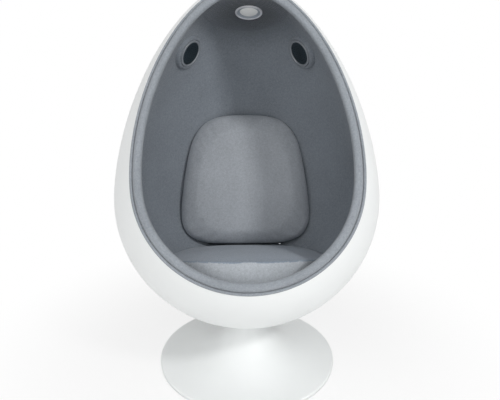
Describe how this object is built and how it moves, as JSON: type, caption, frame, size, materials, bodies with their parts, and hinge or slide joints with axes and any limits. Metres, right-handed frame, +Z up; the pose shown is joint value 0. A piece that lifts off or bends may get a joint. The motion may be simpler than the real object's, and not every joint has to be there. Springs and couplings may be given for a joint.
{
  "type": "pod chair",
  "caption": "Egg-shaped pod chair on a swivelling tulip base, padded and lined inside, with seat and back cushions, recessed speakers and a ceiling lamp.",
  "frame": {"origin": "on the floor, on the swivel axis, at the middle of the base's foot ring", "axes": "+Z up along the swivel axis; the sitter faces -Y at rest; +X to the right when the opening is looked at from the front"},
  "size_m": [0.8596, 0.8525, 1.2724],
  "materials": {
    "amplifier_case": "matt black paint",
    "bezel_plastic": "satin grey",
    "black_plastic": "satin",
    "black_rubber": "matt",
    "bright_steel": "zinc plated",
    "bush_plastic": "plain",
    "cage_brass": "plain",
    "cast_alloy": "as cast",
    "circuit_board": "plain",
    "coil_metal": "copper wire on a former",
    "cone_plastic": "plain",
    "cushion_fabric": "woven blue-grey upholstery",
    "dark_steel": "matt dark grey paint",
    "diode": "clear",
    "grille_steel": "matt black paint",
    "lamp_inner": "satin",
    "lamp_lens": "frosted",
    "lamp_metal": "satin",
    "lining_fabric": "woven grey upholstery",
    "lining_foam": "soft foam",
    "magnet_metal": "plain",
    "rim_fabric": "woven grey upholstery",
    "white_gloss": "glossy white lacquered glass fibre",
    "white_matt": "satin white",
    "zip_metal": "bright",
    "zip_tape": "woven tape"
  },
  "bodies": {
    "base": {"base_shell": "white_gloss", "foot_ring": "black_rubber", "base_plate": "dark_steel", "column": "dark_steel", "column_bolts": "bright_steel", "lower_bush": "bush_plastic", "upper_bush": "bush_plastic", "bearing_lower_race": "bright_steel", "bearing_balls": "bright_steel", "bearing_cage": "cage_brass"},
    "pod": {"bearing_upper_race": "bright_steel", "spindle": "bright_steel", "spindle_clip": "dark_steel", "mount_boss": "white_matt", "mount_bolts": "bright_steel", "backing_block": "cast_alloy", "outer_shell": "white_gloss", "lining_foam": "lining_foam", "lining_fabric": "lining_fabric", "ceiling_fabric": "lining_fabric", "rim_welt": "rim_fabric", "rim_roll": "rim_fabric", "seat_plinth": "lining_foam", "seat_cushion": "cushion_fabric", "seat_zip": "zip_tape", "back_cushion": "cushion_fabric", "back_zip": "zip_tape", "amplifier": "amplifier_case", "power_inlet": "black_plastic", "left_speaker_pad": "lining_fabric", "left_speaker_bezel": "bezel_plastic", "left_speaker_grille": "grille_steel", "left_speaker_basket": "black_plastic", "left_speaker_magnet": "magnet_metal", "left_speaker_surround": "black_rubber", "left_speaker_screws": "bright_steel", "right_speaker_pad": "lining_fabric", "right_speaker_bezel": "bezel_plastic", "right_speaker_grille": "grille_steel", "right_speaker_basket": "black_plastic", "right_speaker_magnet": "magnet_metal", "right_speaker_surround": "black_rubber", "right_speaker_screws": "bright_steel", "lamp_bezel": "lamp_metal", "lamp_inner_ring": "lamp_inner", "lamp_lens": "lamp_lens", "lamp_board": "circuit_board", "lamp_diodes": "diode", "lamp_housing": "cast_alloy", "lamp_clips": "bright_steel"},
    "left_cone": {"left_speaker_cone": "cone_plastic", "left_dust_cap": "cone_plastic", "left_voice_coil": "coil_metal"},
    "right_cone": {"right_speaker_cone": "cone_plastic", "right_dust_cap": "cone_plastic", "right_voice_coil": "coil_metal"},
    "zip_slider": {"zip_slider": "zip_metal"}
  },
  "joints": [
    {"name": "pod_swivel", "type": "hinge", "parent": "base", "child": "pod", "pos_m": [0, 0, 0], "axis": [0, 0, 1], "continuous": true},
    {"name": "left_cone_travel", "type": "slide", "parent": "pod", "child": "left_cone", "axis": [0.7759, -0.5018, -0.3824], "range_m": [-0.0015, 0.0015], "stiffness_N_per_m": 2000},
    {"name": "right_cone_travel", "type": "slide", "parent": "pod", "child": "right_cone", "axis": [-0.7759, -0.5018, -0.3824], "range_m": [-0.0015, 0.0015], "stiffness_N_per_m": 2000},
    {"name": "zip_slide", "type": "slide", "parent": "pod", "child": "zip_slider", "axis": [1, 0, 0], "range_m": [-0.268, 0]}
  ]
}
